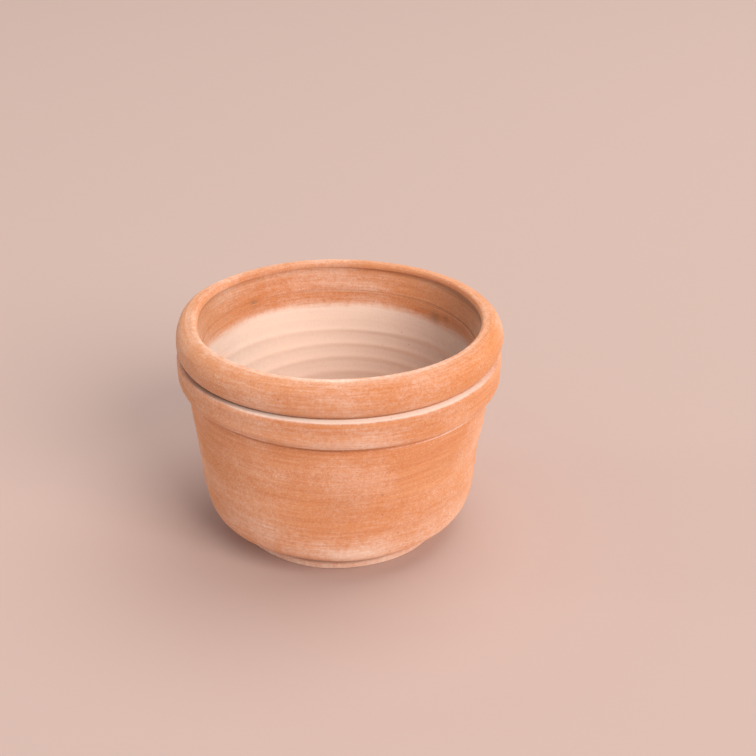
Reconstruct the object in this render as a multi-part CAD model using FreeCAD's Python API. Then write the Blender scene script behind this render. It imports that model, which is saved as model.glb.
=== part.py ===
import FreeCAD, Part

import math
import os

# A round terracotta flowerpot in millimetres: +Z up, origin on the pot's axis at the level it stands on.
# Five clay sections are turned about the axis and meet face to face along the seams that show as
# grooves: a foot ring, a base slab with the drainage hole, the body wall, a collar band laid round the
# top of the wall, and a thick rolled rim over both.

# Rolled rim
RIM_RADIUS = 140.0             # the pot's widest radius
POT_HEIGHT = 197.0
ROLL_TOP_ROUND = 14.5          # radius of the roll's outer shoulder
ROLL_UNDER_ROUND = 17.0        # radius of the roll's tucked-in underside
ROLL_UNDER_ANGLE = 60.0        # how far the underside turns in before it meets the groove, degrees
LIP_ROUND = 4.0                # rounding at the mouth's edge

# Collar band
COLLAR_RADIUS = 139.0
COLLAR_BOTTOM = 138.0          # height of its lower edge
COLLAR_UNDER_ROUND = 12.0      # radius of its rounded underside
LEDGE_DROP = 1.0               # how far its narrow top ledge falls towards the outside
LEDGE_ROUND = 2.0

# Body wall, outside
WALL_TOP_RADIUS = 129.8        # straight down behind the collar band
HEEL_RADIUS = 119.8            # where the straight taper ends and the heel begins
HEEL_HEIGHT = 49.0
HEEL_PULL = 29.0               # handle length of the heel curve at the wall
FOOT_PULL = 31.0               # handle length of the heel curve at the foot
FOOT_APPROACH = 35.0           # slope of the heel curve where it reaches the foot, degrees

# Body wall, inside
NECK_RADIUS = 118.0            # at the seam under the rim
THROAT_RADIUS = 116.0          # where the neck passes into the wall
THROAT_HEIGHT = 154.0
INNER_HEEL_RADIUS = 108.0
INNER_HEEL_HEIGHT = 46.0
FLOOR_TOP = 19.0

# Base slab and foot ring
SLAB_RADIUS = 82.0
DRAIN_RADIUS = 11.0
FOOT_HEIGHT = 7.3
FOOT_GROOVE_RADIUS = 89.5
FOOT_OUTER_RADIUS = 91.0
FOOT_INNER_RADIUS = 62.0
FOOT_EDGE_ROUND = 2.0

# Worked out from the dimensions above
CREST_RADIUS = RIM_RADIUS - ROLL_TOP_ROUND
ROLL_HEIGHT = POT_HEIGHT - ROLL_TOP_ROUND
MOUTH_RADIUS = CREST_RADIUS - LIP_ROUND
UNDER_CENTRE = RIM_RADIUS - ROLL_UNDER_ROUND
GROOVE_RADIUS = UNDER_CENTRE + ROLL_UNDER_ROUND * math.cos(math.radians(ROLL_UNDER_ANGLE))
GROOVE_HEIGHT = ROLL_HEIGHT - ROLL_UNDER_ROUND * math.sin(math.radians(ROLL_UNDER_ANGLE))


def at(radius, height):
    """A point of the half section, which lies in the XZ plane."""
    return FreeCAD.Vector(radius, 0, height)


def line(start, end):
    return Part.LineSegment(start, end).toShape()


def arc(centre, radius, start_angle, end_angle):
    """Part of a circle, from one angle to another in degrees. 0 points away from the axis and 90 points up."""
    def on_circle(angle):
        turn = math.radians(angle)
        return centre + at(radius * math.cos(turn), radius * math.sin(turn))
    middle = (start_angle + end_angle) / 2
    return Part.Arc(on_circle(start_angle), on_circle(middle), on_circle(end_angle)).toShape()


def curve(*poles):
    bezier = Part.BezierCurve()
    bezier.setPoles(list(poles))
    return bezier.toShape()


def turned(edges):
    """The solid that a closed half section sweeps about the pot's axis."""
    face = Part.Face(Part.Wire(edges))
    return face.revolve(FreeCAD.Vector(0, 0, 0), FreeCAD.Vector(0, 0, 1), 360)


def rim_roll():
    """The rolled rim. It stands on the wall's top and on the collar's inner edge."""
    crest = at(CREST_RADIUS, ROLL_HEIGHT)
    lip = at(CREST_RADIUS, POT_HEIGHT - LIP_ROUND)
    neck = at(NECK_RADIUS, GROOVE_HEIGHT)
    groove = at(GROOVE_RADIUS, GROOVE_HEIGHT)
    return turned([
        line(neck, groove),
        arc(at(UNDER_CENTRE, ROLL_HEIGHT), ROLL_UNDER_ROUND, -ROLL_UNDER_ANGLE, 0),
        arc(crest, ROLL_TOP_ROUND, 0, 90),
        arc(lip, LIP_ROUND, 90, 180),
        line(at(MOUTH_RADIUS, POT_HEIGHT - LIP_ROUND), neck),
    ])


def collar_band():
    """The band laid round the wall's top. Its top edge is the narrow ledge under the rim."""
    centre_radius = COLLAR_RADIUS - COLLAR_UNDER_ROUND
    overhang = math.acos((WALL_TOP_RADIUS - centre_radius) / COLLAR_UNDER_ROUND)
    belly_height = COLLAR_BOTTOM + COLLAR_UNDER_ROUND * math.sin(overhang)
    ledge_height = GROOVE_HEIGHT - LEDGE_DROP
    ledge_radius = COLLAR_RADIUS - LEDGE_ROUND
    inner_top = at(WALL_TOP_RADIUS, GROOVE_HEIGHT)
    inner_bottom = at(WALL_TOP_RADIUS, COLLAR_BOTTOM)
    return turned([
        line(inner_top, inner_bottom),
        arc(at(centre_radius, belly_height), COLLAR_UNDER_ROUND, -math.degrees(overhang), 0),
        line(at(COLLAR_RADIUS, belly_height), at(COLLAR_RADIUS, ledge_height - LEDGE_ROUND)),
        arc(at(ledge_radius, ledge_height - LEDGE_ROUND), LEDGE_ROUND, 0, 90),
        line(at(ledge_radius, ledge_height), at(GROOVE_RADIUS, GROOVE_HEIGHT)),
        line(at(GROOVE_RADIUS, GROOVE_HEIGHT), inner_top),
    ])


def body_wall():
    """The tapering wall, with its rounded heel outside and its bowl-shaped heel inside."""
    taper = at(HEEL_RADIUS - WALL_TOP_RADIUS, HEEL_HEIGHT - COLLAR_BOTTOM).normalize()
    inner_taper = at(INNER_HEEL_RADIUS - THROAT_RADIUS, INNER_HEEL_HEIGHT - THROAT_HEIGHT).normalize()
    approach = math.radians(FOOT_APPROACH)
    heel = at(HEEL_RADIUS, HEEL_HEIGHT)
    foot = at(FOOT_GROOVE_RADIUS, FOOT_HEIGHT)
    inner_heel = at(INNER_HEEL_RADIUS, INNER_HEEL_HEIGHT)
    floor_edge = at(SLAB_RADIUS, FLOOR_TOP)
    floor_reach = (INNER_HEEL_RADIUS - SLAB_RADIUS) / 2
    neck = at(NECK_RADIUS, GROOVE_HEIGHT)
    throat = at(THROAT_RADIUS, THROAT_HEIGHT)
    wall_top = at(WALL_TOP_RADIUS, GROOVE_HEIGHT)
    wall_under_collar = at(WALL_TOP_RADIUS, COLLAR_BOTTOM)
    return turned([
        line(neck, wall_top),
        line(wall_top, wall_under_collar),
        line(wall_under_collar, heel),
        curve(heel, heel + taper * HEEL_PULL,
              foot + at(math.cos(approach), math.sin(approach)) * FOOT_PULL, foot),
        line(foot, at(SLAB_RADIUS, FOOT_HEIGHT)),
        line(at(SLAB_RADIUS, FOOT_HEIGHT), floor_edge),
        curve(floor_edge, floor_edge + at(floor_reach, 0),
              inner_heel + inner_taper * floor_reach, inner_heel),
        line(inner_heel, throat),
        line(throat, neck),
    ])


def base_slab():
    """The flat slab that closes the bottom, with the drainage hole in its middle."""
    corners = [at(DRAIN_RADIUS, FOOT_HEIGHT), at(SLAB_RADIUS, FOOT_HEIGHT),
               at(SLAB_RADIUS, FLOOR_TOP), at(DRAIN_RADIUS, FLOOR_TOP)]
    return turned([line(a, b) for a, b in zip(corners, corners[1:] + corners[:1])])


def foot_ring():
    """The low ring that the pot stands on."""
    edge_radius = FOOT_OUTER_RADIUS - FOOT_EDGE_ROUND
    return turned([
        line(at(FOOT_INNER_RADIUS, 0), at(edge_radius, 0)),
        arc(at(edge_radius, FOOT_EDGE_ROUND), FOOT_EDGE_ROUND, -90, 0),
        line(at(FOOT_OUTER_RADIUS, FOOT_EDGE_ROUND), at(FOOT_GROOVE_RADIUS, FOOT_HEIGHT)),
        line(at(FOOT_GROOVE_RADIUS, FOOT_HEIGHT), at(FOOT_INNER_RADIUS, FOOT_HEIGHT)),
        line(at(FOOT_INNER_RADIUS, FOOT_HEIGHT), at(FOOT_INNER_RADIUS, 0)),
    ])


os.makedirs("parts", exist_ok=True)
for section in (rim_roll, collar_band, body_wall, base_slab, foot_ring):
    solid = section()
    solid.exportStep(f"parts/{section.__name__}.step")
    print(f"{section.__name__}: {solid.Volume / 1000:.0f} cm3, valid {solid.isValid()}")
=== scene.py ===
import math

import bpy
import numpy as np
from mathutils import Matrix, Vector


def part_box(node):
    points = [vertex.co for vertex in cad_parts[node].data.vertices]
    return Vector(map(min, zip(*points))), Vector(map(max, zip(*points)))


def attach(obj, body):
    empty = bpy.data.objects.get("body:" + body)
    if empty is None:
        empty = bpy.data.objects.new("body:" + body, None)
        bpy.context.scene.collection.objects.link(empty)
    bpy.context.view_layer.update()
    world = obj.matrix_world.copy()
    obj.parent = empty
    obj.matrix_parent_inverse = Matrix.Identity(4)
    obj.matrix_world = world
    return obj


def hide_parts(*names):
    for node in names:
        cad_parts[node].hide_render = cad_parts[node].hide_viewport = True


# A hand-thrown terracotta flowerpot. Each clay section is one closed mesh, turned about the Z axis from
# an outline in millimetres, then given the marks of the wheel and the hand: throwing ridges, brushed
# lines, an uneven rim. Grain and pits are in the material. Outlines come from the frame's boxes and the
# few dimensions below.

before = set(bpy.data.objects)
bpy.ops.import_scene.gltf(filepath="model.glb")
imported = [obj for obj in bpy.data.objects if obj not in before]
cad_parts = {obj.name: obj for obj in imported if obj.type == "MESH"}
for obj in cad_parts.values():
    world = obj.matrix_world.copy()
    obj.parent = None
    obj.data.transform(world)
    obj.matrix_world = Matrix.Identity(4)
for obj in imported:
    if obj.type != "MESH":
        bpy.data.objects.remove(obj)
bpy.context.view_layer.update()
MM = 0.001                 # metres in a millimetre


def frame_radius(node):
    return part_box(node)[1].x / MM


# Sizes from the frame
RIM_RADIUS = frame_radius("rim_roll")
POT_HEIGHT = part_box("rim_roll")[1].z / MM
GROOVE_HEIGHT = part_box("rim_roll")[0].z / MM
COLLAR_RADIUS = frame_radius("collar_band")
COLLAR_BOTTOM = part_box("collar_band")[0].z / MM
WALL_TOP_RADIUS = frame_radius("body_wall")
FOOT_RADIUS = frame_radius("foot_ring")
FOOT_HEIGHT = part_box("foot_ring")[1].z / MM
SLAB_RADIUS = frame_radius("base_slab")
FLOOR_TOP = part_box("base_slab")[1].z / MM

# Sizes of the outline that the frame's boxes don't hold
ROLL_TOP_ROUND = 14.5
ROLL_UNDER_ROUND = 17.0
ROLL_UNDER_ANGLE = 60.0    # how far the roll's underside turns in, degrees
LIP_ROUND = 4.0
LIP_END_ANGLE = 205.0      # where the lip's rounding ends inside the mouth, degrees
LIP_HOLLOW = 11.0          # how far below the top the slight hollow under the lip ends
NECK_RADIUS = 118.0
THROAT_RADIUS = 116.0
THROAT_HEIGHT = 154.0
THROAT_BEND = 5.0          # how far the throat's curve reaches below it
COLLAR_UNDER_ROUND = 12.0
COLLAR_LINE = 6.0          # how far the turned line under the collar reaches down the wall
LEDGE_DROP = 1.0
LEDGE_ROUND = 3.0
HEEL_RADIUS = 119.8
HEEL_HEIGHT = 49.0
HEEL_PULL = 29.0           # handle length of the heel curve at the wall
FOOT_PULL = 31.0           # handle length of the heel curve at the foot
FOOT_APPROACH = 35.0       # slope of the heel curve where it reaches the foot, degrees
INNER_HEEL_RADIUS = 108.0
INNER_HEEL_HEIGHT = 46.0
FOOT_GROOVE_RADIUS = 88.7
FOOT_INNER_RADIUS = 62.0
FOOT_FULLNESS = 0.8        # how far the foot's bead stands out past the frame's ring
FOOT_BEAD = 2.6            # rounding of the ring's outer lower edge
FOOT_EDGE = 2.0            # rounding of its inner lower edge
DRAIN_RADIUS = 11.0
DRAIN_TOP_ROUND = 2.5
DRAIN_LOW_ROUND = 1.5

# Worked out from the sizes above
CREST_RADIUS = RIM_RADIUS - ROLL_TOP_ROUND
ROLL_HEIGHT = POT_HEIGHT - ROLL_TOP_ROUND
MOUTH_RADIUS = CREST_RADIUS - LIP_ROUND
UNDER_CENTRE = RIM_RADIUS - ROLL_UNDER_ROUND
GROOVE_RADIUS = UNDER_CENTRE + ROLL_UNDER_ROUND * math.cos(math.radians(ROLL_UNDER_ANGLE))

# Marks of the wheel
RIDGE_PITCH = 15.5         # throwing ridges up the inside
RIDGE_DEPTH = 1.5
NECK_CREASE = GROOVE_HEIGHT + 1.6
SEAM_FADE = 2.0            # marks fade out over this distance before a hidden face


# ---------------------------------------------------------------- outlines

def smooth(low, high, value):
    """0 below low, 1 above high, and an even S between them."""
    t = np.clip((np.asarray(value, float) - low) / (high - low), 0, 1)
    return t * t * (3 - 2 * t)


def line(start, end):
    return [np.array(start, float), np.array(end, float)]


def arc(centre, radius, start, end, steps=24):
    """Part of a circle between two angles in degrees, where 0 points away from the axis and 90 up."""
    turns = np.radians(np.linspace(start, end, steps))
    return [np.array(centre) + radius * np.array([math.cos(t), math.sin(t)]) for t in turns]


def curve(p0, p1, p2, p3, steps=40):
    """A cubic Bezier curve."""
    p0, p1, p2, p3 = (np.array(p, float) for p in (p0, p1, p2, p3))
    return [p0 * (1 - t) ** 3 + 3 * p1 * (1 - t) ** 2 * t + 3 * p2 * (1 - t) * t * t + p3 * t ** 3
            for t in np.linspace(0, 1, steps)]


def spaced(points, spacing):
    """The same path with a point about every spacing millimetres, both ends kept."""
    points = np.array(points)
    steps = np.linalg.norm(np.diff(points, axis=0), axis=1)
    reach = np.concatenate([[0], np.cumsum(steps)])
    count = max(2, int(math.ceil(reach[-1] / spacing)) + 1)
    at = np.linspace(0, reach[-1], count)
    return np.stack([np.interp(at, reach, points[:, i]) for i in (0, 1)], axis=1)


# ---------------------------------------------------------------- marks on the clay

FRONT = -math.pi / 2


def facing(angle, centre, width):
    """1 at an angle round the pot, fading to 0 at width to either side; all in radians."""
    away = abs((angle - centre + math.pi) % (2 * math.pi) - math.pi)
    return 1 - smooth(0, width, away)


def at_height(height, centre, spread):
    """1 at a height, falling off softly to both sides."""
    return np.exp(-((height - centre) / spread) ** 2)


def ripples(turns, pitches, count, seed):
    """An even random pattern that joins up round the pot: a sum of waves with up to so many turns round
    it and a wavelength along the outline between the two pitches, in millimetres. Its spread is about 1."""
    draw = np.random.default_rng(seed)
    rounds = draw.integers(-turns, turns + 1, count)
    lengths = draw.uniform(pitches[0], pitches[1], count)
    phases = draw.uniform(0, 2 * math.pi, count)

    def pattern(angle, along):
        total = np.zeros(np.broadcast(angle, along).shape)
        for k, length, phase in zip(rounds, lengths, phases):
            total += np.sin(k * angle + 2 * math.pi * along / length + phase)
        return total / math.sqrt(count / 2)
    return pattern


brushed = ripples(5, (2.4, 6.0), 26, seed=3)
handled = ripples(7, (30, 90), 14, seed=5)
ridge_wander = ripples(3, (60, 160), 6, seed=8)
ragged = ripples(90, (8, 30), 40, seed=12)


def outside_marks(angle, along, radius, height):
    """Fine brushed lines over the slow unevenness of handling."""
    return 0.045 * brushed(angle, along) + 0.22 * handled(angle, along)


def ridge_turn(angle, height):
    """How far round its spiral the ridge is at a place inside, in radians, 0 on a crest."""
    return 2 * math.pi * ((height + 3.0) / RIDGE_PITCH + 0.10 * ridge_wander(angle, height)) + angle


def inside_marks(angle, along, radius, height):
    """Finger ridges that climb the wall in a spiral, under the throat, with brushed lines over them. Each
    ridge rises slowly and falls away sharply on its lower side."""
    turn = ridge_turn(angle, height)
    ridge = np.cos(turn + 0.7 * np.cos(turn))
    below_throat = 1 - smooth(THROAT_HEIGHT - 24, THROAT_HEIGHT - 12, height)
    above_heel = smooth(FLOOR_TOP + 4, FLOOR_TOP + 26, height)
    return (0.5 * RIDGE_DEPTH * ridge * below_throat * above_heel
            + 0.05 * brushed(angle, along) + 0.2 * handled(angle, along))


def neck_marks(angle, along, radius, height):
    """Two wheel lines inside the neck: a crease above the throat and a soft hollow half way up."""
    crease = -0.7 * at_height(height, NECK_CREASE, 1.0)
    hollow = -0.35 * at_height(height, NECK_CREASE + 9, 2.2)
    return crease + hollow + outside_marks(angle, along, radius, height)


def collar_foot_marks(angle, along, radius, height):
    """The turned line under the collar: a narrow cut with a slight lip below it, clearest at the front."""
    clear = 0.35 + 0.65 * facing(angle, FRONT + 0.1, 1.4)
    cut = -0.7 * at_height(height, COLLAR_BOTTOM - 1.1, 0.7)
    lip = 0.45 * at_height(height, COLLAR_BOTTOM - 2.9, 0.8)
    return clear * (cut + lip) + outside_marks(angle, along, radius, height)


def floor_marks(angle, along, radius, height):
    """A shallow spiral left by the fingers on the floor."""
    phase = radius / 17 + angle / (2 * math.pi) + 0.1 * ridge_wander(angle, along)
    spiral = 0.35 * np.cos(2 * math.pi * phase) * smooth(14, 26, radius) * (1 - smooth(62, 80, radius))
    return spiral + 0.04 * brushed(angle, along)


def no_marks(angle, along, radius, height):
    """For a face that meets another section or the floor."""
    return np.zeros(np.broadcast(angle, along).shape)


def by_hand(points):
    """The slow unevenness that all sections share, so that their seams stay closed: a flat spot on the
    -X side of the roll and collar, a fuller roll on the +X side, a lip that stands a little higher at
    the front, a collar that slopes down towards +X, a body slightly out of round, and a heel that sits
    off centre."""
    x, y, z = points[..., 0], points[..., 1], points[..., 2]
    radius = np.hypot(x, y)
    angle = np.arctan2(y, x)
    on_roll = smooth(GROOVE_HEIGHT - 4, GROOVE_HEIGHT + 8, z)
    on_collar = smooth(110, 136, z) * (1 - smooth(146, 164, z))
    upper = smooth(60, 130, z)
    flat_spot = np.exp(-((angle % (2 * math.pi) - math.radians(184)) / 0.36) ** 2)
    full_side = np.exp(-((angle - math.radians(38)) / 0.35) ** 2)
    banded = smooth(128, 142, z)
    push = 1.2 * on_roll * full_side - (2.2 * banded + 1.2 * on_roll) * flat_spot
    push = push + 0.5 * upper * np.cos(2 * angle + 0.5)
    radius = radius + push
    lift = 1.5 * smooth(ROLL_HEIGHT, POT_HEIGHT, z) * (0.5 - 0.5 * np.sin(angle)) + 1.2 * on_collar
    slope = -0.009 * upper - 0.015 * on_collar
    heel_shift = -0.9 * (1 - smooth(70, 110, z))
    moved = (radius * np.cos(angle) + heel_shift, radius * np.sin(angle), z + lift + slope * x)
    return np.stack(moved, axis=-1)


# ---------------------------------------------------------------- turning a section

def turned(name, strokes, columns):
    """One clay section. strokes are (path, spacing, marks, tint) in order round its closed outline. A tint
    gives lime, rust and grime, each as an amount or as a function of angle, radius and height. Hidden
    faces, where the section meets another, have no_marks and stay on the seam. Where the first stroke is
    a visible one, its first point keeps its marks, and so lies up to 0.6 mm off the seam."""
    points, along, tints, marks_of, on_seam = [], [], [], [], []
    reach = 0.0
    for path, spacing, marks, tint in strokes:
        p = spaced(path, spacing)
        s = reach + np.concatenate([[0], np.cumsum(np.linalg.norm(np.diff(p, axis=0), axis=1))])
        reach = s[-1]
        after_seam = marks_of[-1:] == [no_marks]
        for i in range(len(p) - 1):
            points.append(p[i])
            along.append(s[i])
            tints.append(tint)
            marks_of.append(marks)
            on_seam.append(marks is no_marks or (i == 0 and after_seam))
    points, along = np.array(points), np.array(along)
    count = len(points)

    seam_places = along[np.array(on_seam)]
    to_seam = np.minimum.reduce([np.minimum(abs(along - s), reach - abs(along - s)) for s in seam_places])
    weight = smooth(0, SEAM_FADE, to_seam)

    ahead = np.roll(points, -1, axis=0)
    tangent = ahead - np.roll(points, 1, axis=0)
    tangent /= np.linalg.norm(tangent, axis=1)[:, None]
    counterclockwise = np.sum(points[:, 0] * ahead[:, 1] - ahead[:, 0] * points[:, 1]) > 0
    normal = np.stack([tangent[:, 1], -tangent[:, 0]], axis=1) * (1 if counterclockwise else -1)

    angle = np.linspace(0, 2 * math.pi, columns, endpoint=False)[None, :]
    offset = np.zeros((count, columns))
    for marks in set(marks_of):
        rows = np.array([m is marks for m in marks_of])
        offset[rows] = marks(angle, along[rows, None], points[rows, 0, None], points[rows, 1, None])
    offset *= weight[:, None]
    radius = points[:, 0, None] + normal[:, 0, None] * offset
    height = points[:, 1, None] + normal[:, 1, None] * offset
    solid = by_hand(np.stack([radius * np.cos(angle), radius * np.sin(angle), height], axis=-1))

    here = np.arange(count * columns).reshape(count, columns)
    right, down = np.roll(here, -1, axis=1), np.roll(here, -1, axis=0)
    both = np.roll(right, -1, axis=0)
    corners = [here, right, both, down] if counterclockwise else [here, down, both, right]
    faces = np.stack(corners, axis=-1).reshape(-1, 4)
    mesh = bpy.data.meshes.new(name)
    mesh.from_pydata((solid.reshape(-1, 3) * MM).tolist(), [], faces.tolist())
    mesh.polygons.foreach_set("use_smooth", [True] * len(mesh.polygons))
    mesh.set_sharp_from_angle(angle=math.radians(40))

    # The lime layer also carries painted highlights, and the grime layer painted shade.
    layers = {"along": np.repeat(along[:, None] * MM, columns, axis=1)}
    for key in ("lime_and_highlight", "rust", "grime_and_shade"):
        layers[key] = np.zeros((count, columns))
        for i, tint in enumerate(tints):
            amount = tint.get(key, 0.0)
            layers[key][i] = amount(angle[0], *points[i]) if callable(amount) else amount
    for key, values in layers.items():
        layer = mesh.attributes.new(key, "FLOAT", "POINT")
        layer.data.foreach_set("value", values.astype(np.float32).ravel())

    piece = bpy.data.objects.new(name, mesh)
    bpy.context.scene.collection.objects.link(piece)
    return piece


# ---------------------------------------------------------------- where lime, bare clay and grime gather, with painted highlights and painted shade

# Each patch is its angle from the front, height, spread in radians, spread in millimetres, and amount.
BLOOMS = (
    (-0.25, 112, 0.26, 18, 0.04), (-0.42, 50, 0.24, 9, 0.14), (0.10, 128, 0.30, 6, 0.06),
    (1.60, 90, 0.40, 24, 0.13), (2.60, 60, 0.35, 26, 0.15), (-2.10, 100, 0.45, 20, 0.14),
)
BARE_ON_COLLAR = (
    (-0.45, 157, 0.28, 7, 0.70), (0.55, 160, 0.30, 5, 0.45), (2.10, 150, 0.5, 7, 0.6),
    (-2.3, 158, 0.5, 6, 0.5),
)
BARE_ON_ROLL = (
    (-0.62, 181, 0.40, 6, 0.60), (0.10, 176, 0.30, 4, 0.40), (1.30, 184, 0.5, 6, 0.5),
    (-2.6, 178, 0.6, 6, 0.6),
)
BARE_ON_WALL = (
    (0.02, 84, 0.17, 15, 0.85), (0.80, 104, 0.20, 9, 0.55), (0.75, 50, 0.40, 22, 0.60),
    (1.95, 48, 0.30, 14, 0.60), (-2.70, 70, 0.40, 12, 0.55), (-1.30, 118, 0.25, 9, 0.4),
)
BARE = BARE_ON_COLLAR + BARE_ON_ROLL + BARE_ON_WALL
DRIPS = ((-2.44, 169, 0.035, 3.5, 0.32), (2.27, 160, 0.05, 5, 0.36), (2.15, 163, 0.03, 3, 0.25))


def patches(angle, height, places):
    total = 0 * angle
    for turn, up, width, tall, amount in places:
        away = (angle - FRONT - turn + math.pi) % (2 * math.pi) - math.pi
        total = total + amount * np.exp(-(away / width) ** 2 - ((height - up) / tall) ** 2)
    return total


def outer_rust(angle, radius, height):
    """Bare patches on the roll, collar and wall, where no bloom has formed."""
    return patches(angle, height, BARE)


def roll_wear_and_highlight(angle, radius, height):
    """Worn paler along the crest, with a painted highlight there, most of all on the edge of the mouth at
    the front. Paler on the front, and less pale on the -X side as painted shade.
    """
    # The crest and the mouth's edge: wear, with a painted highlight.
    edge = 0.20 * smooth(POT_HEIGHT - 0.5, POT_HEIGHT - 0.1, height) * facing(angle, FRONT, 2.2)
    # Less pale on the -X side: painted shade.
    paler_front_shaded_side = 0.16 * facing(angle, FRONT, 0.9) - 0.09 * facing(angle, math.pi + 0.4, 0.9)
    return 0.14 + paler_front_shaded_side + 0.10 * smooth(POT_HEIGHT - 3, POT_HEIGHT, height) + edge


def lip_wear_and_highlight(angle, radius, height):
    """The worn edge, with its painted highlight, carries on a little way down the inside of the lip."""
    edge = smooth(POT_HEIGHT - 1.6, POT_HEIGHT - 0.6, height) * (0.3 + 0.7 * facing(angle, FRONT, 2.2))
    return 0.16 + edge * (0.26 + 0.05 * ragged(angle, height))


def roll_dirt_and_shade(angle, radius, height):
    """Dirt and painted shade in the groove under the roll, most of it on the -X side of the front, and
    painted shade on the roll's -X side.
    """
    # Dirt and painted shade in the groove.
    depth = 1 - smooth(GROOVE_HEIGHT - 1, GROOVE_HEIGHT + 6.5, height)
    # Painted shade on the roll's -X side.
    shaded_side = 0.12 * facing(angle, math.pi + 0.35, 1.0)
    return depth ** 1.5 * (0.34 + 0.50 * facing(angle, FRONT - 0.95, 1.5)) + shaded_side


def inner_rust(angle, radius, height):
    """The bare orange band at the throat, crisp above and soft below; weaker on the -X side."""
    below_crease = 1 - smooth(NECK_CREASE - 0.8, NECK_CREASE, height)
    band = smooth(THROAT_HEIGHT - 8, THROAT_HEIGHT + 8, height) * below_crease
    under_lip = 0.06 * smooth(POT_HEIGHT - 9, POT_HEIGHT - 6, height)
    return band * (0.15 - 0.08 * facing(angle, math.pi, 1.5)) + under_lip


def inner_lime(angle, radius, height):
    """Chalky lime below the throat, thinner towards the heel and on both sides, and a dusty neck."""
    below = 1 - smooth(THROAT_HEIGHT - 10, THROAT_HEIGHT + 9, height)
    worn = 0.12 * (1 - smooth(40, 120, height)) + 0.12 * facing(angle, 0.1, 1.2)
    worn = worn + 0.52 * facing(angle, math.pi, 1.3) * smooth(30, 80, height)
    neck = 0.21 + 0.02 * smooth(NECK_CREASE - 0.5, NECK_CREASE + 1.5, height)
    blotches = 0.05 * handled(angle, height)
    return below * (1.05 - worn) + neck * (1 - 0.4 * facing(angle, 0.2, 1.4)) + blotches


def inner_dirt_and_shade(angle, radius, height):
    """Painted shade under the lip and a dark line in the crease above the throat, both stronger towards +X,
    where the inside is in shade; painted shade higher up on the +X side and a damp stain on the -X side;
    darker hollows between the ridges; and a few brown drips."""
    # More towards +X, where the inside is in shade: painted shade.
    side = 0.35 + 0.65 * facing(angle, 0.5, 1.8)
    crease = 0.24 * at_height(height, NECK_CREASE - 0.8, 1.5)
    # Painted shade under the lip.
    under_lip = 0.26 * smooth(POT_HEIGHT - 13, POT_HEIGHT - 8, height)
    # Painted shade on the +X side; a damp stain on the -X side.
    shade_and_stain = (0.42 * facing(angle, 0.1, 1.1) + 0.36 * facing(angle, math.pi, 1.3)) * smooth(60, 110, height)
    below_throat = 1 - smooth(THROAT_HEIGHT - 24, THROAT_HEIGHT - 12, height)
    hollows = 0.035 * (1 - np.cos(ridge_turn(angle, height))) * below_throat
    return side * (crease + under_lip) + shade_and_stain + hollows + patches(angle, height, DRIPS)


def collar_lime(angle, radius, height):
    """A pale dusting on the collar's front, most of it low down."""
    low = 0.16 * facing(angle, FRONT, 0.5) * at_height(height, COLLAR_BOTTOM + 7, 5)
    return 0.10 + low + 0.24 * facing(angle, FRONT, 0.8)


def ledge_chalk_and_highlight(angle, radius, height):
    """Chalk caught on the ledge, which fades out round its outer corner, with a painted highlight: it is
    brightest at the front, a little towards +X, on the side of the light."""
    on_ledge = smooth(GROOVE_RADIUS + 0.2, GROOVE_RADIUS + 2.4, radius)
    corner = 1 - smooth(COLLAR_RADIUS - 2.4, COLLAR_RADIUS - 0.2, radius)
    return 0.14 + on_ledge * corner * (0.10 + 0.92 * facing(angle, FRONT + 0.25, 1.5))


def ledge_dirt_and_shade(angle, radius, height):
    """Dirt and painted shade along the ledge's inner edge, under the roll, wide on the -X side of the front.
    """
    inner = 1 - smooth(GROOVE_RADIUS + 0.6, GROOVE_RADIUS + 3.0, radius)
    wide = 1 - smooth(GROOVE_RADIUS + 2.5, GROOVE_RADIUS + 5.5, radius)
    return 0.06 * inner + 0.50 * wide * facing(angle, FRONT - 1.0, 1.2)


def collar_darker_side(angle, radius, height):
    """A duller -X side."""
    return 0.09 * facing(angle, math.pi + 0.4, 0.9) * smooth(COLLAR_BOTTOM - 2, COLLAR_BOTTOM, height)


def crease_shade(angle, radius, height):
    """Painted shade in the line under the collar, faint on the +X side, where the light falls; with the
    collar's darker -X side.
    """
    line_under = at_height(height, COLLAR_BOTTOM - 0.6, 1.1)
    return line_under * (0.10 + 0.42 * facing(angle, FRONT - 0.3, 1.1)) + collar_darker_side(angle, radius, height)


def wall_bloom_and_highlight(angle, radius, height):
    """A painted highlight on the lip under the collar, on the +X side of the front where the light falls;
    bloom in patches, and above the foot.
    """
    # Painted highlight on the lip under the collar.
    lip = 0.50 * facing(angle, FRONT + 0.85, 0.9) * at_height(height, COLLAR_BOTTOM - 2.9, 0.8)
    low = (1 - smooth(20, 62, height)) * (0.14 + 0.38 * facing(angle, FRONT, 0.8)) * smooth(16, 34, height)
    return 0.13 + lip + low + patches(angle, height, BLOOMS)


def foot_chalk_and_light(angle, radius, height):
    """A chalky foot. Its front is made paler as painted light, under the heel's shade."""
    return 0.36 + 0.24 * facing(angle, FRONT + 0.1, 0.9) + 0.05 * handled(angle, height)


def foot_crease_dirt_and_shade(angle, radius, height):
    """Dirt and painted shade in the groove above the foot ring, and painted shade on the heel's underside,
    thinning out up the heel.
    """
    groove = 0.42 * at_height(height, FOOT_HEIGHT, 1.3)
    above_foot = smooth(FOOT_HEIGHT, FOOT_HEIGHT + 1, height)
    # Painted shade on the heel's underside.
    heel = 0.20 * (1 - smooth(FOOT_HEIGHT + 4, FOOT_HEIGHT + 15, height)) * above_foot
    return (groove + heel) * (0.6 + 0.4 * facing(angle, FRONT - 0.4, 1.6))


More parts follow.
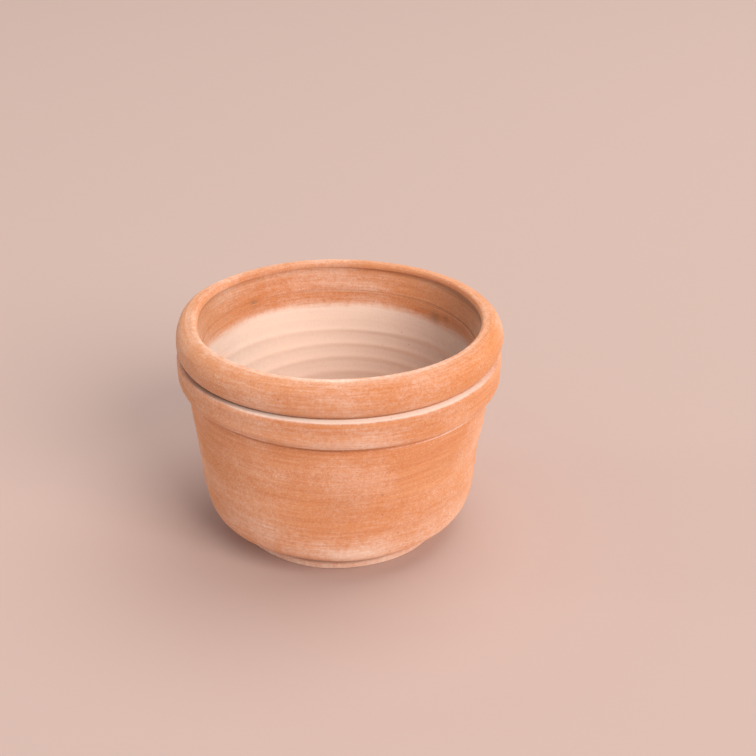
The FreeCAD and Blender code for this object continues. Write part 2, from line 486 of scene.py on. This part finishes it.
def floor_lime(angle, radius, height):
    """Lime left where water stands, thinner near the drain hole."""
    settled = smooth(DRAIN_RADIUS + 4, 64, radius)
    return 0.45 * (1 - settled) + settled * inner_lime(angle, radius, FLOOR_TOP)


# ---------------------------------------------------------------- the five sections

INNER = {"lime_and_highlight": inner_lime, "rust": inner_rust, "grime_and_shade": inner_dirt_and_shade}
ROLL = {"lime_and_highlight": roll_wear_and_highlight, "rust": outer_rust, "grime_and_shade": roll_dirt_and_shade}
COLLAR_UNDER = {"lime_and_highlight": collar_lime, "rust": outer_rust, "grime_and_shade": crease_shade}
COLLAR_FACE = {"lime_and_highlight": collar_lime, "rust": outer_rust, "grime_and_shade": collar_darker_side}
LEDGE = {"lime_and_highlight": ledge_chalk_and_highlight, "rust": outer_rust, "grime_and_shade": ledge_dirt_and_shade}
WALL = {"lime_and_highlight": wall_bloom_and_highlight, "rust": outer_rust}
WALL_UNDER_COLLAR = {"lime_and_highlight": wall_bloom_and_highlight, "grime_and_shade": crease_shade}
HEEL = {"lime_and_highlight": wall_bloom_and_highlight, "rust": outer_rust, "grime_and_shade": foot_crease_dirt_and_shade}
FOOT = {"lime_and_highlight": foot_chalk_and_light, "grime_and_shade": foot_crease_dirt_and_shade}
HIDDEN = {}


def rim_outline():
    under = (UNDER_CENTRE, ROLL_HEIGHT)
    crest = (CREST_RADIUS, ROLL_HEIGHT)
    lip = (CREST_RADIUS, POT_HEIGHT - LIP_ROUND)
    neck_top = (MOUTH_RADIUS + 0.5, POT_HEIGHT - LIP_HOLLOW)
    neck = (NECK_RADIUS, GROOVE_HEIGHT)
    outside = arc(under, ROLL_UNDER_ROUND, -ROLL_UNDER_ANGLE, 0) + arc(crest, ROLL_TOP_ROUND, 0, 90)[1:]
    inside_lip = arc(lip, LIP_ROUND, 90, LIP_END_ANGLE)[1:]
    under_lip = curve(inside_lip[-1], (MOUTH_RADIUS + 2.6, POT_HEIGHT - 7.0),
                      (MOUTH_RADIUS + 1.8, POT_HEIGHT - 10.0), neck_top)[1:]
    neck_wall = curve(neck_top, (MOUTH_RADIUS - 0.6, POT_HEIGHT - 15),
                      (NECK_RADIUS + 0.6, GROOVE_HEIGHT + 5), neck)
    return [
        (outside + inside_lip[:1], 0.8, outside_marks, ROLL),
        (inside_lip, 0.6, outside_marks, {"lime_and_highlight": lip_wear_and_highlight}),
        ([inside_lip[-1]] + under_lip, 0.7, outside_marks, INNER),
        (neck_wall, 0.6, neck_marks, INNER),
        (line(neck, (GROOVE_RADIUS, GROOVE_HEIGHT)), 3, no_marks, HIDDEN),
    ]


def collar_outline():
    centre_radius = COLLAR_RADIUS - COLLAR_UNDER_ROUND
    overhang = math.acos((WALL_TOP_RADIUS - centre_radius) / COLLAR_UNDER_ROUND)
    belly = COLLAR_BOTTOM + COLLAR_UNDER_ROUND * math.sin(overhang)
    ledge_height = GROOVE_HEIGHT - LEDGE_DROP
    ledge_corner = (COLLAR_RADIUS - LEDGE_ROUND, ledge_height - LEDGE_ROUND)
    inner_top = (WALL_TOP_RADIUS, GROOVE_HEIGHT)
    inner_bottom = (WALL_TOP_RADIUS, COLLAR_BOTTOM)
    groove = (GROOVE_RADIUS, GROOVE_HEIGHT)
    under = arc((centre_radius, belly), COLLAR_UNDER_ROUND, -math.degrees(overhang), 0)
    face = line((COLLAR_RADIUS, belly), (COLLAR_RADIUS, ledge_corner[1]))
    ledge = arc(ledge_corner, LEDGE_ROUND, 0, 90)[1:] + line((ledge_corner[0], ledge_height), groove)
    return [
        (line(inner_top, inner_bottom), 3, no_marks, HIDDEN),
        (under, 0.6, outside_marks, COLLAR_UNDER),
        (face, 0.9, outside_marks, COLLAR_FACE),
        ([face[-1]] + ledge, 0.5, outside_marks, LEDGE),
        (line(groove, inner_top), 3, no_marks, HIDDEN),
    ]


def wall_outline():
    wall_top, collar_line = (WALL_TOP_RADIUS, GROOVE_HEIGHT), (WALL_TOP_RADIUS, COLLAR_BOTTOM)
    heel = np.array((HEEL_RADIUS, HEEL_HEIGHT))
    foot = np.array((FOOT_GROOVE_RADIUS, FOOT_HEIGHT))
    taper = heel - np.array(collar_line)
    taper /= np.linalg.norm(taper)
    approach = math.radians(FOOT_APPROACH)
    foot_handle = foot + FOOT_PULL * np.array((math.cos(approach), math.sin(approach)))
    outer_heel = curve(heel, heel + taper * HEEL_PULL, foot_handle, foot)
    lower_heel = outer_heel[len(outer_heel) // 2 - 1:]
    line_end = np.array(collar_line) + taper * COLLAR_LINE
    floor_edge = np.array((SLAB_RADIUS, FLOOR_TOP))
    inner_heel = np.array((INNER_HEEL_RADIUS, INNER_HEEL_HEIGHT))
    throat = np.array((THROAT_RADIUS, THROAT_HEIGHT))
    inner_taper = inner_heel - throat
    inner_taper /= np.linalg.norm(inner_taper)
    reach = (INNER_HEEL_RADIUS - SLAB_RADIUS) / 2
    bowl = curve(floor_edge, floor_edge + (reach, 0), inner_heel + inner_taper * reach, inner_heel)
    neck = (NECK_RADIUS, GROOVE_HEIGHT)
    below_throat = throat + (-0.6, -THROAT_BEND)
    throat_curve = curve(below_throat, throat + (-0.2, 0), (NECK_RADIUS - 0.2, GROOVE_HEIGHT - 5), neck)
    return [
        (line(wall_top, collar_line), 4, no_marks, HIDDEN),
        (line(collar_line, line_end), 0.5, collar_foot_marks, WALL_UNDER_COLLAR),
        (line(line_end, heel) + outer_heel[1:-len(lower_heel) + 1], 1.3, outside_marks, WALL),
        (lower_heel, 0.8, outside_marks, HEEL),
        (line(foot, (SLAB_RADIUS, FOOT_HEIGHT)), 3, no_marks, HIDDEN),
        (line((SLAB_RADIUS, FOOT_HEIGHT), floor_edge), 3, no_marks, HIDDEN),
        (bowl, 1.3, inside_marks, INNER),
        (line(inner_heel, below_throat), 1.5, inside_marks, INNER),
        (throat_curve, 1.0, inside_marks, INNER),
        (line(neck, wall_top), 3, no_marks, HIDDEN),
    ]


def slab_outline():
    top_out = (SLAB_RADIUS, FLOOR_TOP)
    low_out = (FOOT_INNER_RADIUS, FOOT_HEIGHT)
    seam = (SLAB_RADIUS, FOOT_HEIGHT)
    top_centre = (DRAIN_RADIUS + DRAIN_TOP_ROUND, FLOOR_TOP - DRAIN_TOP_ROUND)
    low_centre = (DRAIN_RADIUS + DRAIN_LOW_ROUND, FOOT_HEIGHT + DRAIN_LOW_ROUND)
    round_top = arc(top_centre, DRAIN_TOP_ROUND, 90, 180)
    round_low = arc(low_centre, DRAIN_LOW_ROUND, 180, 270)
    return [
        (line(top_out, round_top[0]), 1.4, floor_marks, {"lime_and_highlight": floor_lime}),
        (round_top + round_low[:1], 1.0, outside_marks, {"lime_and_highlight": 0.3, "rust": 0.3}),
        (round_low, 0.6, outside_marks, {"lime_and_highlight": 0.2}),
        (line(round_low[-1], low_out), 1.6, outside_marks, {"lime_and_highlight": 0.25}),
        (line(low_out, seam), 3, no_marks, HIDDEN),
        (line(seam, top_out), 3, no_marks, HIDDEN),
    ]


def foot_outline():
    """A low bead, turned fuller outside than inside."""
    full = FOOT_RADIUS + FOOT_FULLNESS
    groove = (FOOT_GROOVE_RADIUS, FOOT_HEIGHT)
    inner_top = (FOOT_INNER_RADIUS, FOOT_HEIGHT)
    outer_round = arc((full - FOOT_BEAD, FOOT_BEAD), FOOT_BEAD, -90, 10)
    outer = curve(outer_round[-1], (full, 5.4), (full - 0.7, FOOT_HEIGHT + 0.1), groove)
    inner_round = arc((FOOT_INNER_RADIUS + FOOT_EDGE, FOOT_EDGE), FOOT_EDGE, 180, 270)
    return [
        (line(inner_round[-1], outer_round[0]), 1.6, no_marks, {"lime_and_highlight": 0.3}),
        (outer_round + outer[1:], 0.6, outside_marks, FOOT),
        (line(groove, inner_top), 3, no_marks, HIDDEN),
        (line(inner_top, inner_round[0]), 1.0, outside_marks, {"lime_and_highlight": 0.2}),
        (inner_round, 0.8, outside_marks, {"lime_and_highlight": 0.2}),
    ]


# ---------------------------------------------------------------- fired clay

def srgb(red, green, blue):
    """A linear colour, from its 8-bit values as a screen shows them."""
    def linear(v):
        v /= 255
        return v / 12.92 if v <= 0.04045 else ((v + 0.055) / 1.055) ** 2.4
    return (linear(red), linear(green), linear(blue), 1)


CLAY = srgb(217, 139, 89)
PALE_CLAY = srgb(228, 157, 108)
CLOUDED_CLAY = srgb(231, 164, 122)
DEEP_CLAY = srgb(220, 139, 80)
BRUSHED_CLAY = srgb(238, 180, 146)
BARE_CLAY = srgb(215, 143, 97)
# Pale for lime bloom, and for painted highlights on edges, ledges and the foot's front
LIME_AND_HIGHLIGHT = srgb(249, 228, 213)
DARK_GRAIN = srgb(176, 104, 70)
PALE_GRAIN = srgb(246, 208, 182)
SALT = srgb(250, 222, 202)
PIT = srgb(150, 88, 62)
# Dark brown for dirt, and for painted shade in grooves, creases and on shaded sides
GRIME_AND_SHADE = srgb(118, 88, 70)
FLOOR_PAINT = srgb(206, 178, 167)


class Nodes:
    """Short calls to build a material's node tree."""

    def __init__(self, material):
        material.use_nodes = True
        self.tree = material.node_tree
        self.tree.nodes.clear()

    def add(self, kind, settings=None, **inputs):
        """A node, with its inputs given by name, or by number as _0, _1 and so on."""
        node = self.tree.nodes.new(kind)
        for key, value in (settings or {}).items():
            setattr(node, key, value)
        for key, value in inputs.items():
            socket = node.inputs[int(key[1:])] if key[0] == "_" else node.inputs[key.replace("_", " ")]
            self.put(socket, value)
        return node

    def put(self, socket, value):
        if isinstance(value, bpy.types.NodeSocket):
            self.tree.links.new(value, socket)
        else:
            socket.default_value = value

    def math(self, operation, a, b):
        return self.add("ShaderNodeMath", {"operation": operation}, _0=a, _1=b).outputs[0]

    def range(self, value, low, high, to_low=0.0, to_high=1.0):
        node = self.add("ShaderNodeMapRange", {"interpolation_type": "SMOOTHSTEP"}, Value=value, From_Min=low,
                        From_Max=high, To_Min=to_low, To_Max=to_high)
        return node.outputs[0]

    def mix(self, factor, a, b):
        """Colour a where the factor is 0 and b where it is 1."""
        node = self.add("ShaderNodeMix", {"data_type": "RGBA"})
        self.put(node.inputs[0], factor)
        self.put(node.inputs[6], a)
        self.put(node.inputs[7], b)
        return node.outputs[2]

    def attribute(self, name):
        return self.add("ShaderNodeAttribute", {"attribute_name": name}).outputs["Fac"]

    def noise(self, vector, scale, detail, roughness):
        node = self.add("ShaderNodeTexNoise", None, Vector=vector, Scale=scale, Detail=detail,
                        Roughness=roughness)
        return node.outputs["Fac"]


def fired_clay():
    """Unglazed terracotta: orange clay brushed round the wheel, with paler and deeper patches, a chalky
    lime bloom, specks and pits. Vertex layers say where lime, bare rust clay and grime gather; the lime
    layer also carries painted highlights, and the grime layer painted shade."""
    material = bpy.data.materials.new("fired_clay")
    n = Nodes(material)
    place = n.add("ShaderNodeTexCoord").outputs["Object"]
    split = n.add("ShaderNodeSeparateXYZ", None, Vector=place)
    along = n.attribute("along")

    def stretched(side, up):
        """Coordinates scaled by side across the pot, and by up along its outline, both per metre."""
        x = n.math("MULTIPLY", split.outputs[0], side)
        y = n.math("MULTIPLY", split.outputs[1], side)
        z = n.math("MULTIPLY", along, up)
        return n.add("ShaderNodeCombineXYZ", None, X=x, Y=y, Z=z).outputs[0]

    streaks = n.noise(stretched(9, 210), 1.0, 4.0, 0.6)
    fine_streaks = n.noise(stretched(40, 760), 1.0, 3.0, 0.6)
    clouds = n.noise(place, 15.0, 3.0, 0.55)
    bands = n.noise(stretched(7, 26), 1.0, 2.0, 0.5)
    grain = n.noise(place, 620.0, 2.0, 0.7)
    salt = n.noise(place, 950.0, 1.0, 0.5)
    mottle = n.noise(place, 240.0, 4.0, 0.65)

    colour = n.mix(n.range(streaks, 0.32, 0.70), CLAY, PALE_CLAY)
    colour = n.mix(n.range(clouds, 0.45, 0.70, 0, 0.6), colour, CLOUDED_CLAY)
    colour = n.mix(n.range(bands, 0.46, 0.68, 0, 0.9), colour, DEEP_CLAY)
    colour = n.mix(n.range(fine_streaks, 0.5, 0.8, 0, 0.40), colour, BRUSHED_CLAY)

    rust = n.attribute("rust")
    colour = n.mix(n.math("MULTIPLY", rust, n.range(mottle, 0.25, 0.6, 0.6, 1.0)), colour, BARE_CLAY)

    # Pale from the lime layer: lime bloom, and painted highlights on the mouth's edge, the ledge, the lip
    # under the collar and the foot's front.
    lime_and_highlight = n.attribute("lime_and_highlight")
    bloom_and_highlight = n.math("ADD", n.math("MULTIPLY", lime_and_highlight, 1.2), n.range(clouds, 0.3, 0.75, -0.16, 0.10))
    bloom_and_highlight = n.math("ADD", bloom_and_highlight, n.range(mottle, 0.3, 0.7, -0.10, 0.10))
    bloom_and_highlight = n.math("ADD", bloom_and_highlight, n.range(fine_streaks, 0.3, 0.7, -0.08, 0.08))
    bloom_and_highlight = n.range(bloom_and_highlight, 0.0, 1.05)
    colour = n.mix(n.math("MULTIPLY", bloom_and_highlight, 0.95), colour, LIME_AND_HIGHLIGHT)

    sandy = n.range(clouds, 0.35, 0.65, 0.45, 1.0)
    dark_grain = n.range(grain, 0.32, 0.47, 0.25, 0.0)
    dark_grain = n.math("MULTIPLY", dark_grain, n.range(bloom_and_highlight, 0.2, 0.9, 1.0, 0.35))
    colour = n.mix(dark_grain, colour, DARK_GRAIN)
    colour = n.mix(n.math("MULTIPLY", sandy, n.range(grain, 0.53, 0.68, 0.0, 0.26)), colour, PALE_GRAIN)
    colour = n.mix(n.math("MULTIPLY", sandy, n.range(salt, 0.60, 0.72, 0.0, 0.42)), colour, SALT)
    pits = n.add("ShaderNodeTexVoronoi", {"feature": "F1"}, Vector=place, Scale=150.0, Randomness=1.0)
    pit_size = n.add("ShaderNodeSeparateColor", None, Color=pits.outputs["Color"])
    pit_edge = n.math("MULTIPLY", n.range(pit_size.outputs[0], 0.95, 1.0), 0.12)
    pit = n.math("SUBTRACT", 1.0, n.range(n.math("SUBTRACT", pits.outputs["Distance"], pit_edge), 0.0, 0.06))
    pit = n.math("MULTIPLY", pit, n.range(pit_size.outputs[0], 0.95, 0.96))
    colour = n.mix(n.math("MULTIPLY", pit, 0.4), colour, PIT)
    # Dark brown from the grime layer: dirt, and painted shade in grooves, creases, under the lip and on
    # shaded sides.
    grime_and_shade = n.math("MULTIPLY", n.attribute("grime_and_shade"), n.range(mottle, 0.25, 0.6, 0.7, 1.0))
    colour = n.mix(grime_and_shade, colour, GRIME_AND_SHADE)

    relief = n.math("ADD", n.math("MULTIPLY", grain, 0.7), n.math("MULTIPLY", fine_streaks, 0.6))
    relief = n.math("ADD", relief, n.math("MULTIPLY", mottle, 0.5))
    relief = n.math("SUBTRACT", relief, n.math("MULTIPLY", pit, 1.2))
    bump = n.add("ShaderNodeBump", None, Strength=0.35, Distance=0.0004, Height=relief)
    roughness = n.range(bloom_and_highlight, 0, 1, 0.82, 0.95)
    surface = n.add("ShaderNodeBsdfPrincipled", None, Base_Color=colour, Roughness=roughness,
                    Normal=bump.outputs[0])
    surface.inputs["Specular IOR Level"].default_value = 0.25
    surface.inputs["Diffuse Roughness"].default_value = 0.7
    surface.inputs["Sheen Weight"].default_value = 0.12
    surface.inputs["Sheen Roughness"].default_value = 0.5
    surface.inputs["Sheen Tint"].default_value = (1.0, 0.86, 0.80, 1)
    n.add("ShaderNodeOutputMaterial", None, Surface=surface.outputs[0])
    return material


# ---------------------------------------------------------------- floor, light and camera

def paint(name, colour):
    """A matt finish that reflects no lamp, even along the floor."""
    material = bpy.data.materials.new(name)
    n = Nodes(material)
    surface = n.add("ShaderNodeBsdfPrincipled", None, Base_Color=colour, Roughness=1.0,
                    Specular_IOR_Level=0.0)
    n.add("ShaderNodeOutputMaterial", None, Surface=surface.outputs[0])
    return material


def make_floor():
    half = 20.0
    mesh = bpy.data.meshes.new("floor")
    corners = [(-half, -half, 0), (half, -half, 0), (half, half, 0), (-half, half, 0)]
    mesh.from_pydata(corners, [], [(0, 1, 2, 3)])
    mesh.materials.append(paint("floor_paint", FLOOR_PAINT))
    floor = bpy.data.objects.new("floor", mesh)
    bpy.context.scene.collection.objects.link(floor)


def make_light(name, place, target, size, watts, colour):
    """A round soft lamp aimed at a target."""
    lamp = bpy.data.lights.new(name, "AREA")
    lamp.shape = "DISK"
    lamp.size = size
    lamp.energy = watts
    lamp.color = colour
    light = bpy.data.objects.new(name, lamp)
    light.location = place
    light.rotation_mode = "QUATERNION"
    light.rotation_quaternion = (Vector(target) - Vector(place)).to_track_quat("-Z", "Y")
    bpy.context.scene.collection.objects.link(light)


def make_fill(direction, strength, colour):
    """Even light from one side, as a pale wall there gives, with no bright spot on the floor."""
    lamp = bpy.data.lights.new("fill", "SUN")
    lamp.energy = strength
    lamp.angle = math.radians(15)
    lamp.color = colour
    light = bpy.data.objects.new("fill", lamp)
    light.rotation_mode = "QUATERNION"
    light.rotation_quaternion = (-Vector(direction)).to_track_quat("-Z", "Y")
    bpy.context.scene.collection.objects.link(light)


def make_world(colour, strength):
    world = bpy.data.worlds.new("studio")
    world.use_nodes = True
    world.node_tree.nodes["Background"].inputs[0].default_value = colour
    world.node_tree.nodes["Background"].inputs[1].default_value = strength
    bpy.context.scene.world = world


def make_camera():
    """From the front, 26 degrees above the level of the collar, eight rim radii away."""
    rim = RIM_RADIUS * MM
    aim_height = 1.05 * rim
    distance, elevation = 8.0 * rim, math.radians(26.35)
    look_right, look_down, roll = math.radians(1.95), math.radians(26.84), math.radians(-0.19)
    lens = bpy.data.cameras.new("camera")
    lens.sensor_width = 36.0
    lens.lens = 61.57
    camera = bpy.data.objects.new("camera", lens)
    camera.location = (0, -distance * math.cos(elevation), aim_height + distance * math.sin(elevation))
    turn = (Matrix.Rotation(-look_right, 3, "Z") @ Matrix.Rotation(math.pi / 2 - look_down, 3, "X")
            @ Matrix.Rotation(roll, 3, "Z"))
    camera.rotation_euler = turn.to_euler()
    bpy.context.scene.collection.objects.link(camera)
    bpy.context.scene.camera = camera


# ---------------------------------------------------------------- the scene

clay = fired_clay()
# Each section's node, outline, and number of columns round the pot
SECTIONS = (
    ("rim_roll", rim_outline, 640),
    ("collar_band", collar_outline, 640),
    ("body_wall", wall_outline, 360),
    ("base_slab", slab_outline, 320),
    ("foot_ring", foot_outline, 480),
)
for node, outline, columns in SECTIONS:
    piece = turned("clay_" + node, outline(), columns)
    piece.data.materials.append(clay)
    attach(piece, "root")
    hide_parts(node)

POT_MIDDLE = (0, 0, 0.1)
make_floor()
make_world((0.91, 0.96, 1.0, 1), 0.475)
make_light("key", (7.81, -10.18, 8.43), POT_MIDDLE, 9.5, 1740, (1.0, 0.955, 0.90))
make_light("sky", (2.45, 1.75, 7.51), POT_MIDDLE, 7.0, 290, (1.0, 0.98, 0.97))
make_fill((-3.9, 0.34, 0.42), 0.72, (0.93, 0.97, 1.0))
make_camera()
bpy.context.scene.view_settings.view_transform = "Standard"
